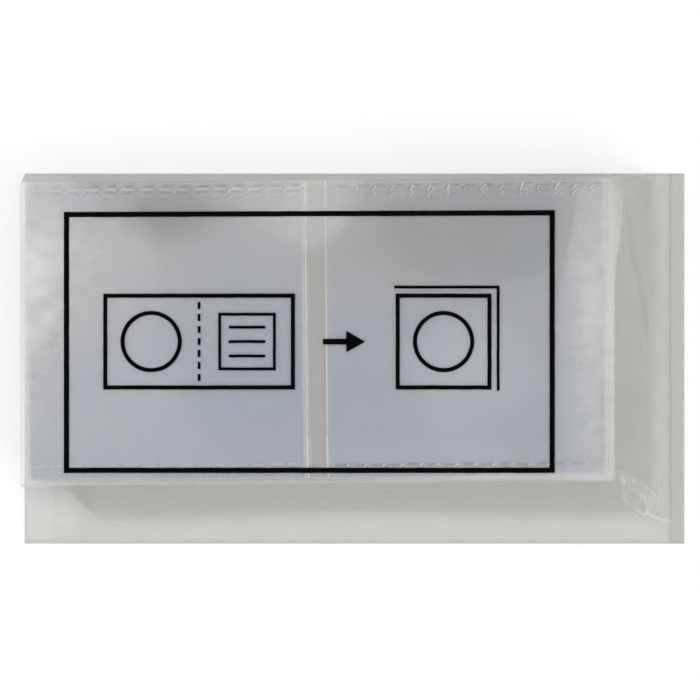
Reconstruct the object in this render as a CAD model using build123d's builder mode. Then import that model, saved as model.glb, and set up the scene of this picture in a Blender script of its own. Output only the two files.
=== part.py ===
from build123d import *
import os
from math import cos, hypot, radians, sin

# A shop pack of double-pocket coin flips: a pile of open flips in a clear film bag.
# The pack lies on its back. +X runs to the sealed end of the bag, +Z rises towards the printed front.
# The origin is on the underside, at the middle of the bag's outline. Millimetres.

# The flip: a strip of film turned over at both ends, so that each half is a carrier with a pocket film on it.
# The pockets are welded along their two sides and open towards the middle, where the flip folds shut in use.
FLIP_SIDE = 63.5  # side of the folded flip, half the length of the open one
FILM = 0.076  # polyester film of 3 thousandths of an inch
POCKET_GAP = 0.02  # room inside an empty pocket
MOUTH_SETBACK = 2.0  # from the fold line to the mouth of each pocket
WELD = 2.0  # heat weld along each side of a pocket
CREASE_WIDTH = 0.3  # scored fold line, on the side of the pockets
CREASE_DEPTH = 0.02

# The pile: each flip lies a little off the middle of the pile and a little askew
FLIP_COUNT = 50
AIR_GAP = 0.028  # between one flip and the next
JOG_LENGTH = 0.4  # farthest that a flip lies off the middle, along X
JOG_WIDTH = 0.7  # the same, along Y
TOP_JOG = radians(120)  # which way the top flip lies off the middle
JOG_TURN = radians(137.5)  # from the jog of one flip to that of the next
SKEW = radians(0.5)  # how far the pile lies turned in the bag, on the whole
SKEW_SPREAD = radians(0.25)  # and how far a single flip is turned from that

# The bag: a back film, a front film drawn over the pile, and a fused seal at the right end
BAG_FILM = 0.06
PILE_CLEARANCE = 0.3  # from the pile to the bag film around it
MOUTH_LIP = 0.7  # film past the pile at the open left end
RIGHT_SLOPE = 10.2  # how far out the front film comes down, by side
LOWER_SLOPE = 9.4
UPPER_SLOPE = 0.8
RIGHT_FLANGE = 6.5  # where the front film lies flat on the back film, by side
LOWER_FLANGE = 4.4
UPPER_FLANGE = 0.3
SEAL_WIDTH = 3.0  # fused band at the end of the right flange

# The print: a plain ruled border on the front film, set in from the pile's edges
INK = 0.02
BORDER_LINE = 1.1
BORDER_LEFT = 8.8
BORDER_RIGHT = 12.3
BORDER_UPPER = 7.1
BORDER_LOWER = 1.9

# Sizes that follow
flip_length = 2 * FLIP_SIDE
flip_pitch = 2 * FILM + POCKET_GAP + AIR_GAP
pocket_length = FLIP_SIDE - MOUTH_SETBACK
pocket_room_length = pocket_length - FILM  # the turned-over film closes the far end
pocket_room_width = FLIP_SIDE - 2 * WELD

most_skew = SKEW + SKEW_SPREAD
pile_length = flip_length + FLIP_SIDE * sin(most_skew) + 2 * JOG_LENGTH
pile_width = FLIP_SIDE + flip_length * sin(most_skew) + 2 * JOG_WIDTH
pile_height = FLIP_COUNT * flip_pitch

bag_length = MOUTH_LIP + pile_length + PILE_CLEARANCE + RIGHT_SLOPE + RIGHT_FLANGE
bag_width = (
    LOWER_FLANGE + LOWER_SLOPE + pile_width + 2 * PILE_CLEARANCE + UPPER_SLOPE + UPPER_FLANGE
)
mouth_x = -bag_length / 2
bag_right = bag_length / 2
bag_lower = -bag_width / 2
bag_upper = bag_width / 2
seal_left = bag_right - SEAL_WIDTH

pile_left = mouth_x + MOUTH_LIP
pile_right = pile_left + pile_length
pile_lower = bag_lower + LOWER_FLANGE + LOWER_SLOPE + PILE_CLEARANCE
pile_upper = pile_lower + pile_width
pile_middle = ((pile_left + pile_right) / 2, (pile_lower + pile_upper) / 2)
pile_foot = BAG_FILM + AIR_GAP

room_top = pile_foot + pile_height + PILE_CLEARANCE
front_top = room_top + BAG_FILM
tent_rise = front_top - BAG_FILM


def plan(left, right, lower, upper):
    """A rectangle of the current sketch, given by its sides."""
    with Locations(((left + right) / 2, (lower + upper) / 2)):
        Rectangle(right - left, upper - lower)


def wall_shift(slope, wall):
    """How far a sloping face moves sideways when it is drawn in by a wall measured square to it."""
    return wall * hypot(slope, tent_rise) / tent_rise


def tent(wall, open_end):
    """The form that the front film takes over the pile, with each face drawn in by the wall.

    The left end stands upright, open_end past the bag's mouth.
    """
    foot, top = BAG_FILM, front_top - wall
    left = mouth_x - open_end
    right_top = pile_right + PILE_CLEARANCE - wall_shift(RIGHT_SLOPE, wall) + BAG_FILM
    lower_top = pile_lower - PILE_CLEARANCE + wall_shift(LOWER_SLOPE, wall) - BAG_FILM
    upper_top = pile_upper + PILE_CLEARANCE - wall_shift(UPPER_SLOPE, wall) + BAG_FILM
    fall = (top - foot) / tent_rise  # a drawn-in tent is lower, so its sides run out less
    with BuildPart() as form:
        with BuildSketch(Plane.XZ):
            Polygon(
                (left, foot),
                (right_top + RIGHT_SLOPE * fall, foot),
                (right_top, top),
                (left, top),
                align=None,
            )
        extrude(amount=bag_width, both=True)
        with BuildSketch(Plane.YZ.offset(left)):
            Polygon(
                (lower_top - LOWER_SLOPE * fall, foot),
                (upper_top + UPPER_SLOPE * fall, foot),
                (upper_top, top),
                (lower_top, top),
                align=None,
            )
        extrude(amount=bag_length + open_end, mode=Mode.INTERSECT)
    return form.part


def write(piece, name):
    """Labels a finished piece and writes it as its own STEP file."""
    piece.label = name
    export_step(piece, f"parts/{name}.step")


os.makedirs("parts", exist_ok=True)

# Back film: a flat sheet from the mouth to the seal
with BuildPart() as back_film:
    with BuildSketch():
        plan(mouth_x, seal_left, bag_lower, bag_upper)
    extrude(amount=BAG_FILM)
write(back_film.part, "bag_back_film")

# Front film: one sheet that drops from the pile to the flange on three sides and stays open at the mouth
room = tent(BAG_FILM, MOUTH_LIP)
with BuildPart() as front_film:
    add(tent(0, 0))
    with BuildSketch(Plane.XY.offset(BAG_FILM)):
        plan(mouth_x, seal_left, bag_lower, bag_upper)
    extrude(amount=BAG_FILM)
    add(room, mode=Mode.SUBTRACT)
write(front_film.part, "bag_front_film")

# End seal: both films fused into one band
with BuildPart() as end_seal:
    with BuildSketch():
        plan(seal_left, bag_right, bag_lower, bag_upper)
    extrude(amount=2 * BAG_FILM)
write(end_seal.part, "bag_end_seal")

# Printed border: a ruled frame on the flat of the front film
with BuildPart() as border:
    with BuildSketch(Plane.XY.offset(front_top)):
        sides = (
            pile_left + BORDER_LEFT,
            pile_right - BORDER_RIGHT,
            pile_lower + BORDER_LOWER,
            pile_upper - BORDER_UPPER,
        )
        plan(*sides)
        offset(amount=-BORDER_LINE, kind=Kind.INTERSECTION, mode=Mode.SUBTRACT)
    extrude(amount=INK)
write(border.part, "printed_border")

# The flips, numbered from the top of the pile down
for number in range(1, FLIP_COUNT + 1):
    turn = TOP_JOG + (number - 1) * JOG_TURN
    skew = SKEW + SKEW_SPREAD * sin(3 * turn)
    fold_x = pile_middle[0] + JOG_LENGTH * cos(turn)
    fold_y = pile_middle[1] + JOG_WIDTH * sin(turn)
    foot = pile_foot + (FLIP_COUNT - number) * flip_pitch
    carrier_plane = Plane((fold_x, fold_y, foot), x_dir=(cos(skew), sin(skew), 0))
    pocket_plane = carrier_plane.offset(FILM)
    crease_plane = Plane(pocket_plane.origin, pocket_plane.x_dir, pocket_plane.y_dir)

    with BuildPart() as carrier:
        with BuildSketch(carrier_plane):
            Rectangle(flip_length, FLIP_SIDE)
        extrude(amount=FILM)
        with BuildSketch(crease_plane):
            Polygon((-CREASE_WIDTH / 2, 0), (CREASE_WIDTH / 2, 0), (0, CREASE_DEPTH), align=None)
        extrude(amount=FLIP_SIDE, both=True, mode=Mode.SUBTRACT)
    carrier.part.label = "carrier_film"

    films = [carrier.part]
    for side, word in ((-1, "left"), (1, "right")):
        with BuildPart() as pocket:
            with BuildSketch(pocket_plane):
                with Locations((side * (MOUTH_SETBACK + pocket_length / 2), 0)):
                    Rectangle(pocket_length, FLIP_SIDE)
            extrude(amount=POCKET_GAP + FILM)
            with BuildSketch(pocket_plane):
                with Locations((side * (MOUTH_SETBACK + pocket_room_length / 2), 0)):
                    Rectangle(pocket_room_length, pocket_room_width)
            extrude(amount=POCKET_GAP, mode=Mode.SUBTRACT)
        pocket.part.label = f"{word}_pocket_film"
        films.append(pocket.part)
    write(Compound(children=films), f"flip_{number:02d}")
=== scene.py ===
"""Dresses a shop pack of double-pocket coin flips: fifty open flips in a clear film bag, seen from above."""
from functools import partial
from math import asin, ceil, cos, exp, hypot, pi, radians, sin
from typing import NamedTuple

import bmesh
import bpy
from bpy.props import FloatProperty, FloatVectorProperty, IntProperty, PointerProperty
from mathutils import Matrix, Vector, noise


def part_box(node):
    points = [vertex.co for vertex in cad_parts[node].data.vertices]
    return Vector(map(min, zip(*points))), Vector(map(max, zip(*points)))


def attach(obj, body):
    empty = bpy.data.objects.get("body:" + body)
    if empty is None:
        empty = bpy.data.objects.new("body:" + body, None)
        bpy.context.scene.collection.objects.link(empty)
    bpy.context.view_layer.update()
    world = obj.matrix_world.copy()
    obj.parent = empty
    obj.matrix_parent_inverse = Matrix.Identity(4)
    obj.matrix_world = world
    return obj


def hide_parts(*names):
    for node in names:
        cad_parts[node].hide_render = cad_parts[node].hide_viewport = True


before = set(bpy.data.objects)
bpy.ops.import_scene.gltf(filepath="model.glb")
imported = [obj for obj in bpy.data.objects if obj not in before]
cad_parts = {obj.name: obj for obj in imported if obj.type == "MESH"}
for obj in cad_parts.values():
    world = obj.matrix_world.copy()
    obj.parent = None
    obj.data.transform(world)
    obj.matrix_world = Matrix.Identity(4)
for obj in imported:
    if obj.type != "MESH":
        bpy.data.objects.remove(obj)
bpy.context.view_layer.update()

bl_info = {
    "name": "Coin flip pack",
    "version": (1, 0, 0),
    "blender": (4, 5, 0),
    "location": "View3D > Sidebar > Flip Pack",
    "description": "Dresses a bagged pile of double-pocket coin flips",
    "category": "Object",
}

# Meshes are made in millimetres and scaled to metres as they become objects
MM = 0.001


def node_box(name):
    """The low and the high corner of a CAD node's box, in millimetres."""
    low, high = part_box(name)
    return Vector(low) / MM, Vector(high) / MM


# Places that the frame gives
FLIP_NODES = sorted(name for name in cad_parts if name.startswith("flip_"))
FLIP_BOXES = [node_box(name) for name in FLIP_NODES]
PILE_LEFT = min(low.x for low, high in FLIP_BOXES)
PILE_RIGHT = max(high.x for low, high in FLIP_BOXES)
PILE_LOWER = min(low.y for low, high in FLIP_BOXES)
PILE_UPPER = max(high.y for low, high in FLIP_BOXES)
BACK_LOW, BACK_HIGH = node_box("bag_back_film")
FRONT_LOW, FRONT_HIGH = node_box("bag_front_film")
SEAL_LOW, SEAL_HIGH = node_box("bag_end_seal")
BORDER_LOW, BORDER_HIGH = node_box("printed_border")
MOUTH_X, SEAL_X = FRONT_LOW.x, FRONT_HIGH.x
LOWER_Y, UPPER_Y = FRONT_LOW.y, FRONT_HIGH.y
FRONT_TOP = FRONT_HIGH.z
BAG_FILM = BACK_HIGH.z - BACK_LOW.z
FLANGE_AIR = 0.03  # between the two films where the front one lies flat
FLANGE_TOP = BACK_HIGH.z + BAG_FILM + FLANGE_AIR

# The flip, as it is made
FLIP_SIDE = 63.5
FLIP_LENGTH = 2 * FLIP_SIDE
FLIP_FILM = 0.076
POCKET_GAP = 0.02
MOUTH_SETBACK = 2.0  # from the fold line to the mouth of each pocket
SCORE_WIDTH = 0.3  # the scored fold line
SCORE_DEPTH = 0.02


def length(name, description, size):
    """A length that a user may change, given in millimetres."""
    return FloatProperty(name=name, description=description, default=size * MM, unit="LENGTH", precision=5)


def tone(name, description, colour):
    """A colour that a user may change."""
    return FloatVectorProperty(
        name=name, description=description, default=colour, subtype="COLOR", min=0, max=1
    )


class PackSizes(bpy.types.PropertyGroup):
    """Sizes of the dressing."""

    weld_inset: length("Weld inset", "From a flip's edge to the middle of its weld dashes", 1.5)
    weld_pitch: length("Weld pitch", "From one weld dash to the next", 4.0)
    weld_dash: length("Weld dash", "Length of one weld dash", 3.0)
    weld_width: length("Weld width", "Width of one weld dash", 0.75)
    weld_rise: length("Weld height", "How far a weld dash stands up", 0.018)
    film_crown: length("Film crown", "How far the front film stands up over the middle of the pile", 0.12)
    film_ripple: length("Film ripple", "Height of the soft ripples of the front film", 0.05)
    shoulder: length("Shoulder", "Width of the film's bend over the pile's edge", 0.8)
    border_line: length("Border line", "Line width of the printed border", 1.15)
    sign_side: length("Sign side", "Side of the folded flip in the printed line picture", 21.0)
    sign_line: length("Sign line", "Line width of the printed line picture", 0.9)
    film_cells: IntProperty(
        name="Film cells",
        description="Cells along the longer side of the front film",
        default=240,
        min=40,
        max=300,
    )


class PackColours(bpy.types.PropertyGroup):
    """Colours of the dressing."""

    flip_cool: tone("Flip film, cool", "Piled polyester film, in its bluish clouds", (0.82, 0.88, 0.97))
    flip_warm: tone("Flip film, warm", "Piled polyester film, in its greyer clouds", (0.91, 0.905, 0.92))
    # The flips' edge colour paints highlights on their mouths, turned ends, cut edges and weld dashes; their
    # shade colour paints shade on the welds
    flip_highlight: tone("Flip edges", "Cut mouths, turned ends and weld dashes of the flips", (0.97, 0.97, 0.95))
    flip_dark: tone("Flip shade", "Shaded sides of the cut edges and weld dashes", (0.34, 0.345, 0.36))
    fold: tone("Fold strip", "The single film along the fold", (0.90, 0.90, 0.88))
    bag: tone("Bag film", "Hazy bag film", (0.67, 0.64, 0.578))
    # The bag's crease colour also paints its glare and highlights, and its shade colour paints shade on its
    # folds, slopes and upper side
    bag_white: tone("Bag creases", "Whitened creases and glare of the bag film", (0.97, 0.965, 0.95))
    bag_dark: tone("Bag shade", "Shaded folds of the bag film", (0.33, 0.33, 0.31))
    ink: tone("Print", "Black print", (0.0015, 0.0015, 0.0015))
    floor: tone("Floor", "Floor under the pack", (0.86, 0.86, 0.86))


# Small tools


def clamp(value, low=0.0, high=1.0):
    """The value, kept between low and high."""
    return max(low, min(high, value))


def ramp(value, start, end):
    """A soft step from 0 at start to 1 at end."""
    share = clamp((value - start) / (end - start))
    return share * share * (3 - 2 * share)


def hill(value, middle, width):
    """A soft hill of height 1 at middle."""
    return exp(-(((value - middle) / width) ** 2))


def soft_low(a, b, reach):
    """The lower of two heights, rounded where they cross."""
    near = max(reach - abs(a - b), 0) / reach
    return min(a, b) - near**3 * reach / 6


def soft_high(a, b, reach):
    """The higher of two heights, rounded where they cross."""
    return -soft_low(-a, -b, reach)


def ripple(x, y, wave, seed):
    """Smooth noise between about -1 and 1, with hills about one wave apart. Each seed gives another one."""
    return noise.noise(Vector((x / wave, y / wave, seed)))


def spread(share, stops):
    """The place at a share of a row of cells whose spacing differs between the stops."""
    for (share_a, place_a), (share_b, place_b) in zip(stops, stops[1:]):
        if share <= share_b:
            return place_a + (place_b - place_a) * (share - share_a) / (share_b - share_a)
    return stops[-1][1]


def new_grid(x_cells, y_cells):
    """A bmesh with a flat grid that reaches from -1 to 1."""
    bm = bmesh.new()
    bmesh.ops.create_grid(bm, x_segments=x_cells, y_segments=y_cells, size=1.0)
    return bm


def grid_share(vert):
    """How far along X and Y a vertex of a new grid lies, from 0 to 1."""
    return (vert.co.x + 1) / 2, (vert.co.y + 1) / 2


def finish_mesh(name, bm, smooth=False):
    """The mesh in metres of a piece that was made in millimetres."""
    bmesh.ops.scale(bm, vec=(MM, MM, MM), verts=bm.verts)
    mesh = bpy.data.meshes.new(name)
    bm.to_mesh(mesh)
    bm.free()
    if smooth:
        mesh.shade_smooth()
    return mesh


def add_piece(name, mesh, materials, body, slot, *nodes):
    """Makes a finished mesh an object that rides on a body and stands for CAD nodes."""
    for material in materials:
        mesh.materials.append(material)
    piece = bpy.data.objects.new(name, mesh)
    bpy.context.scene.collection.objects.link(piece)
    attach(piece, body)
    if nodes:
        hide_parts(*nodes)
    return piece


def thicken(piece, wall, offset):
    """Gives a sheet its wall, in millimetres, on one side of its face."""
    modifier = piece.modifiers.new("Wall", "SOLIDIFY")
    modifier.thickness = wall * MM
    modifier.offset = offset


# The creases of the front film, in millimetres


class Crease(NamedTuple):
    """A crease of the front film, along a line of points, with its rise and its painted highlight or shade."""

    width: float
    rise: float
    shade: float  # whitening and painted highlight above 0, painted shade below
    points: tuple


FILM_CREASES = (
    # The pleat that runs from the pile's corner to the bag's corner, with painted highlights along its edges
    Crease(2.2, 0.50, 0.10, ((59.5, -28.0), (63.0, -31.0), (66.0, -33.0))),
    Crease(1.0, 0.10, 0.22, ((63.5, -29.2), (65.8, -30.6), (66.6, -32.6))),
    Crease(0.9, 0.05, 0.18, ((64.6, -31.0), (65.4, -32.8), (65.2, -34.0))),
    Crease(0.45, 0.40, 0.34, (
        (57.6, -24.6), (59.4, -25.9), (62.2, -27.4), (64.3, -28.1),
        (65.8, -29.2), (67.4, -30.9), (67.5, -32.7), (67.0, -34.2),
    )),
    Crease(0.40, 0.35, 0.46, (
        (58.2, -25.6), (59.2, -27.0), (58.9, -28.8), (59.2, -30.2),
        (60.4, -32.3), (62.2, -33.0), (63.7, -34.5), (65.2, -34.7),
    )),
    Crease(0.34, 0.25, 0.46, ((64.0, -30.2), (64.2, -31.2), (64.6, -32.7), (64.8, -34.4))),
    Crease(0.32, 0.20, 0.30, ((60.6, -28.3), (62.6, -28.9), (63.6, -30.3), (63.0, -31.8), (61.6, -32.2))),
    Crease(0.35, 0.45, 0.85, ((64.9, -34.3), (65.9, -34.8), (67.9, -35.6), (69.2, -35.9))),
    Crease(0.36, 0.35, 0.85, ((68.8, -35.7), (70.0, -36.1), (71.6, -37.3))),
    # The long fold that slants down the film of the sealed end, with painted shade and painted highlights along
    # it
    Crease(1.3, -0.20, -0.13, ((60.2, 33.9), (61.1, 25.1), (62.4, 18.5), (64.0, 11.8), (65.1, 3.0))),
    Crease(0.6, 0.25, 0.06, (
        (58.7, 34.3), (60.0, 25.1), (61.3, 19.1), (63.1, 12.3), (64.8, 3.0), (64.6, -4.0)
    )),
    Crease(0.6, 0.15, 0.06, ((62.6, 31.7), (62.8, 25.1), (64.8, 18.5), (66.0, 12.9), (66.2, 4.1))),
    Crease(2.4, 0.20, -0.12, ((58.8, -20.0), (60.0, -12.0), (61.5, -5.0))),
    # Tight edges over the sealed end of the pile, with painted highlights along them and a painted glint at its
    # corner
    Crease(0.22, 0.02, 0.30, ((55.3, 21.0), (55.3, 2.0), (55.25, -24.4))),
    Crease(0.22, 0.02, 0.22, ((56.5, 14.0), (56.5, -4.0), (56.4, -24.0))),
    Crease(0.40, 0.06, 0.50, ((54.4, -24.6), (55.3, -24.9))),
    # Wavy folds beside the seal, with painted highlights along them, and painted shade in one fold at the top
    Crease(1.5, 0.25, 0.10, (
        (68.5, 15.1), (67.4, 5.2), (68.6, -0.7), (69.8, -6.5), (69.3, -11.3), (69.8, -16.2)
    )),
    Crease(0.35, 0.20, 0.16, ((69.4, 30.1), (69.9, 26.2), (69.5, 21.3), (70.0, 16.9))),
    Crease(0.35, 0.22, 0.20, ((69.9, -7.6), (69.0, -10.9), (69.2, -14.4), (70.0, -16.4))),
    Crease(0.40, 0.30, 0.20, ((70.2, -18.0), (69.6, -20.6), (69.0, -23.7), (67.9, -26.3), (67.3, -29.0))),
    Crease(0.35, 0.15, 0.14, ((69.9, -20.6), (69.8, -24.6), (69.4, -28.1))),
    Crease(1.2, 0.20, -0.10, ((63.5, 39.0), (66.0, 37.2), (68.5, 37.0))),
    Crease(0.9, 0.15, 0.08, ((58.0, 35.0), (60.5, 38.0), (64.0, 39.6))),
    # Flat corners of the mouth's lower side, with painted highlight on them
    Crease(2.6, 0.0, 0.26, ((-71.6, -29.6), (-69.6, -31.0), (-69.2, -34.0))),
    Crease(0.7, 0.10, 0.10, ((-64.7, -41.1), (-62.1, -39.2), (-62.5, -35.6))),
    # Slack over the pile near the mouth, with painted highlight and painted shade beside its creases
    Crease(0.7, 0.06, 0.16, ((-65.2, 37.9), (-58.5, 36.5), (-54.1, 35.2), (-49.7, 33.9))),
    Crease(1.2, 0.0, -0.22, ((-60.7, 38.0), (-55.2, 36.9), (-49.0, 35.4))),
    Crease(1.2, 0.08, 0.12, ((-72.0, 4.1), (-68.5, 6.3), (-65.0, 11.0))),
    Crease(1.0, 0.05, -0.10, ((-68.0, 2.0), (-66.0, 4.5), (-63.5, 6.0))),
)
CREASE_REACH = 2.5  # how far from its line a crease is felt, in widths
CREASE_SWAY = 0.35  # how far it strays from its line, in widths
WIDEST_SWAY = 1.0  # a wider crease strays no more than one of this width
SWAY_WAVE = 1.7
CREASE_START, CREASE_END = (-0.08, 0.15), (0.85, 1.08)  # shares of its length over which it fades in and out
FINE_CREASE = 0.6  # a narrower crease comes and goes along its line
FINE_WAVE = 2.4
FINE_STRENGTH, FINE_LIMITS = 0.75, (0.15, 1.5)


def crease_box(crease):
    """The sides of the box outside which a crease isn't felt."""
    xs, ys = zip(*crease.points)
    reach = CREASE_REACH * crease.width
    return min(xs) - reach, max(xs) + reach, min(ys) - reach, max(ys) + reach


CREASE_BOXES = [crease_box(crease) for crease in FILM_CREASES]


def along_line(x, y, points):
    """How far a place lies from a line of points, and its share of the way along it."""
    nearest, share = 1e9, 0.0
    steps = len(points) - 1
    for step in range(steps):
        (ax, ay), (bx, by) = points[step], points[step + 1]
        dx, dy = bx - ax, by - ay
        part = clamp(((x - ax) * dx + (y - ay) * dy) / (dx * dx + dy * dy))
        gap = hypot(x - ax - part * dx, y - ay - part * dy)
        if gap < nearest:
            nearest, share = gap, (step + part) / steps
    return nearest, share


def film_creases(x, y):
    """Rise, and painted highlight or shade, that the creases give the front film at a place."""
    rise = shade = 0.0
    for crease, (left, right, lower, upper) in zip(FILM_CREASES, CREASE_BOXES):
        if left < x < right and lower < y < upper:
            sway = CREASE_SWAY * min(crease.width, WIDEST_SWAY)
            swayed_x = x + sway * ripple(x, y, SWAY_WAVE, seed=3.0)
            swayed_y = y + sway * ripple(x, y, SWAY_WAVE, seed=7.0)
            gap, share = along_line(swayed_x, swayed_y, crease.points)
            fade = ramp(share, *CREASE_START) * (1 - ramp(share, *CREASE_END))
            strength = hill(gap, 0, crease.width) * fade
            if crease.width < FINE_CREASE:
                strength *= clamp(FINE_STRENGTH + ripple(x, y, FINE_WAVE, seed=15.0), *FINE_LIMITS)
            rise += crease.rise * strength
            shade += crease.shade * strength
    return rise, shade


# The drape of the front film, in millimetres

EDGE_CLIMB = 1.1  # the pile lies askew, so its long edges climb to the right
LOWER_RUN, RIGHT_RUN = 10.4, 11.8  # how far out the film comes down, by side
LOWER_WAIST, WAIST_REACH = 1.2, 26  # the lower side's run is shorter by this around its middle
MOUTH_RUN, MOUTH_GROWTH, MOUTH_CORNER = 2.2, 1.2, -63.5  # its run at the mouth, which grows from this X on
RUN_ROUND = 2.5
RIGHT_SWING, SWING_WAVE = 0.8, 9  # how the foot of the sealed end's slope swings to and fro
RIGHT_WANDER, WANDER_WAVE = 1.2, 7
RIGHT_SLACK, SLACK_RISE = 2.0, (16, 34)  # the sealed end's shoulder is wider in its upper part
UPPER_SHOULDER = 0.25
UPPER_MARGIN = 0.25  # flat film at the foot of the upper side
LOWER_DROP, RIGHT_DROP, UPPER_DROP = 0.4, 0.45, 0.12  # how far the film sinks over its shoulder, by side
DROP_ROUND = 0.8  # share of that drop over which the shoulder runs into the slope
LOWER_SAG, RIGHT_SAG = 1.2, 1.1  # 1 is a straight slope, and more sags
RIGHT_ROUND, UPPER_ROUND, FLANGE_ROUND = 0.7, 0.4, 3.4  # how softly a side runs into the rest
PILE_FADE = (0.9, 0.1)  # how far under the top the pile's looks give way to the slopes'
HEM, UPPER_HEM = 2.5, 0.3  # width at the bag's edges over which the film is held flat
SOFT_WAVE = 9  # ripples over the pile
FINE_SOFT, FINE_SQUEEZE, FINE_SOFT_WAVE = 0.5, 1.8, 5  # finer ones on them, drawn closer along X
SOFT_FLOOR = -0.6  # their troughs are shallower than this
SLACK_RIPPLE, SLACK_SQUEEZE, SLACK_WAVE = 0.10, (1.6, 0.55), 4  # wrinkles of the slopes, drawn out along Y
SLACK_EDGE = (2, 5)  # from the upper side to where they have their height
LIP_RISE, LIP_WIDTH = 0.15, 5  # the film lifts at the mouth
LIP_UNEVEN, LIP_WAVE = 0.6, 9


class Drape(NamedTuple):
    """The front film's plain drape at a place."""

    height: float
    past_lower: float  # how far the place lies past the pile's edges
    past_right: float
    past_upper: float
    on_pile: float  # 1 on the pile, 0 on the slopes and the flange
    held: float  # 0 where the bag's edges hold the film flat, 1 away from them
    slack: float  # how much wider the sealed end's shoulder is here


def lower_edge(x):
    """Y of the pile's lower edge."""
    return PILE_LOWER + EDGE_CLIMB * (x - PILE_LEFT) / (PILE_RIGHT - PILE_LEFT)


def upper_edge(x):
    """Y of the pile's upper edge."""
    return PILE_UPPER - EDGE_CLIMB * (PILE_RIGHT - x) / (PILE_RIGHT - PILE_LEFT)


def come_down(past, run, shoulder, drop, sag=1.0):
    """The film's height past the pile's edge: a gentle shoulder, then a slope down to the flange."""
    if past <= 0:
        return FRONT_TOP
    left = 1 - (past - shoulder) / (run - shoulder)
    if sag > 1:
        left = max(left, 0) ** sag
    slope = BACK_HIGH.z + (FRONT_TOP - BACK_HIGH.z - drop) * left
    return soft_low(FRONT_TOP - drop * past / shoulder, slope, DROP_ROUND * drop)


def lower_run(x):
    """How far out the film comes down at the lower side. It is steep at the mouth."""
    run = LOWER_RUN - LOWER_WAIST * hill(x, 0, WAIST_REACH)
    near_mouth = soft_high(MOUTH_RUN, MOUTH_RUN + MOUTH_GROWTH * (x - MOUTH_CORNER), RUN_ROUND)
    return soft_low(run, near_mouth, RUN_ROUND)


def film_drape(x, y, shoulder):
    """How the front film comes down from the pile on its three closed sides."""
    past_lower, past_right, past_upper = lower_edge(x) - y, x - PILE_RIGHT, y - upper_edge(x)
    right_shoulder = shoulder + RIGHT_SLACK * ramp(y, *SLACK_RISE)
    wander = RIGHT_WANDER * ripple(x, y, WANDER_WAVE, seed=17.0)
    right_run = RIGHT_RUN + RIGHT_SWING * sin(y / SWING_WAVE) + wander
    upper_run = UPPER_Y - UPPER_MARGIN - upper_edge(x)
    lower = come_down(past_lower, lower_run(x), shoulder, LOWER_DROP, LOWER_SAG)
    right = come_down(past_right, right_run, right_shoulder, RIGHT_DROP, RIGHT_SAG)
    upper = come_down(past_upper, upper_run, UPPER_SHOULDER, UPPER_DROP)
    height = soft_low(soft_low(lower, right, RIGHT_ROUND), upper, UPPER_ROUND)
    on_pile = ramp(height, *(FRONT_TOP - depth for depth in PILE_FADE))
    held = min(ramp(SEAL_X - x, 0, HEM), ramp(y - LOWER_Y, 0, HEM), ramp(UPPER_Y - y, 0, UPPER_HEM))
    height = FLANGE_TOP + held * (soft_high(height, FLANGE_TOP, FLANGE_ROUND) - FLANGE_TOP)
    return Drape(height, past_lower, past_right, past_upper, on_pile, held, right_shoulder - shoulder)


def film_swell(x, y, sizes):
    """How far the film stands up over the pile: its crown, its soft ripples and its lip at the mouth."""
    middle_x, middle_y = (PILE_LEFT + PILE_RIGHT) / 2, (PILE_LOWER + PILE_UPPER) / 2
    out = max(abs(x - middle_x) / (PILE_RIGHT - middle_x), abs(y - middle_y) / (PILE_UPPER - middle_y))
    crown = sizes.film_crown / MM * (1 - clamp(out) ** 4)
    soft = ripple(x, y, SOFT_WAVE, seed=1.0)
    soft += FINE_SOFT * ripple(x * FINE_SQUEEZE, y, FINE_SOFT_WAVE, seed=5.0)
    lip = LIP_RISE * (1 - ramp(x, MOUTH_X, MOUTH_X + LIP_WIDTH))
    lip *= 1 + LIP_UNEVEN * ripple(x, y, LIP_WAVE, seed=12.0)
    return crown + sizes.film_ripple / MM * soft_high(soft, SOFT_FLOOR, -SOFT_FLOOR) + lip


# The haze and the shade of the front film, in which light and shade are painted: glare, highlights along its
# bends and creases, and shade on its slopes. A shade of SHADE_EVEN is the film's own colour, and 1 is white.


class Patch(NamedTuple):
    """A soft patch of the film over the pile, by its middle, its reach and its strength."""

    x: float
    y: float
    wide: float
    high: float
    strength: float


# Painted glare: soft reflections over the pile, painted as white haze and lighter shade
FILM_GLARE = (
    Patch(-73.0, 22.0, 10.0, 20.0, 0.58),
    Patch(-73.0, -8.0, 7.5, 26.0, 0.18),
    Patch(-58.0, 22.0, 11.0, 9.5, 0.17),
    Patch(-54.0, -3.0, 18.0, 28.0, 0.10),
    Patch(-11.5, 35.0, 13.0, 11.0, 0.20),
    Patch(-40.0, -20.0, 40.0, 9.0, 0.03),
    Patch(25.0, -2.0, 14.0, 13.0, 0.11),
    Patch(53.0, 14.0, 5.5, 20.0, 0.46),
    Patch(52.5, -14.0, 6.0, 16.0, 0.25),
    Patch(20.0, -23.0, 36.0, 5.0, 0.05),
)
FILM_DIM = (
    Patch(24.0, 28.0, 30.0, 12.0, 0.115),
    Patch(-41.0, 32.0, 11.0, 6.5, 0.13),
)
PATCH_CLOUDS = ((0.35, 1.0, 12, 21.0), (0.3, 1.5, 4, 25.0))  # their unevenness: share, squeeze, wave, seed
HAZE_LIMITS = (0.02, 0.9)
# Even haze, the haze off the pile, and the haze of steep film, which carries the slopes' painted shade
HAZE_EVEN, HAZE_SLOPE, HAZE_STEEP = 0.03, 0.14, 0.10
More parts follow.
